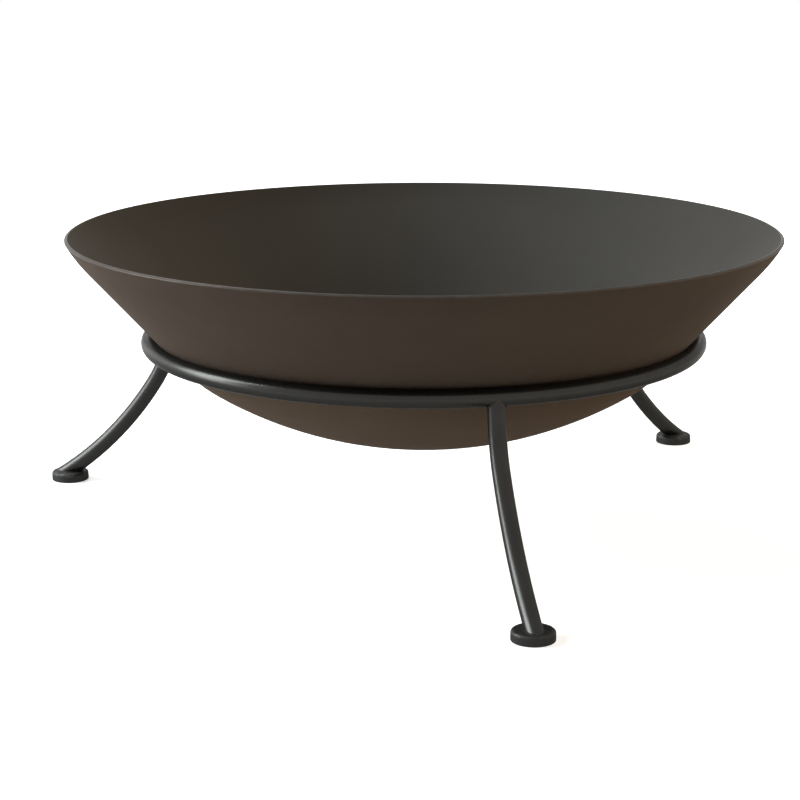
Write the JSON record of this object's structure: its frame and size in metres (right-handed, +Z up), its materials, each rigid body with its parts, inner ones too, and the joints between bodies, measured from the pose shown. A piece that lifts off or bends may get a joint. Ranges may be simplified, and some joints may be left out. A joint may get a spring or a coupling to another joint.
{
  "type": "brazier stand",
  "caption": "Round steel fire bowl with a flared conical wall, resting loose in a bar ring carried on swept bar legs with disc feet.",
  "frame": {"origin": "on the floor, under the middle of the bowl", "axes": "+Z up along the bowl's axis, -Y towards the front leg, +X to the right seen from the front"},
  "size_m": [0.6172, 0.6536, 0.2457],
  "materials": {
    "bowl_coating": "matte brown-black heat-resistant coating",
    "bar_paint": "satin charcoal black paint",
    "foot_paint": "matte charcoal black paint",
    "weld_paint": "satin charcoal black paint over weld metal"
  },
  "bodies": {
    "stand": {"support_ring": "bar_paint", "leg_front": "bar_paint", "leg_right": "bar_paint", "leg_left": "bar_paint", "foot_front": "foot_paint", "foot_right": "foot_paint", "foot_left": "foot_paint", "ring_weld_front": "weld_paint", "ring_weld_right": "weld_paint", "ring_weld_left": "weld_paint", "foot_weld_front": "weld_paint", "foot_weld_right": "weld_paint", "foot_weld_left": "weld_paint"},
    "bowl": {"fire_bowl": "bowl_coating"}
  },
  "joints": [
    {"name": "bowl_lift", "type": "slide", "parent": "stand", "child": "bowl", "axis": [0, 0, 1], "range_m": [0, 0.25]}
  ]
}
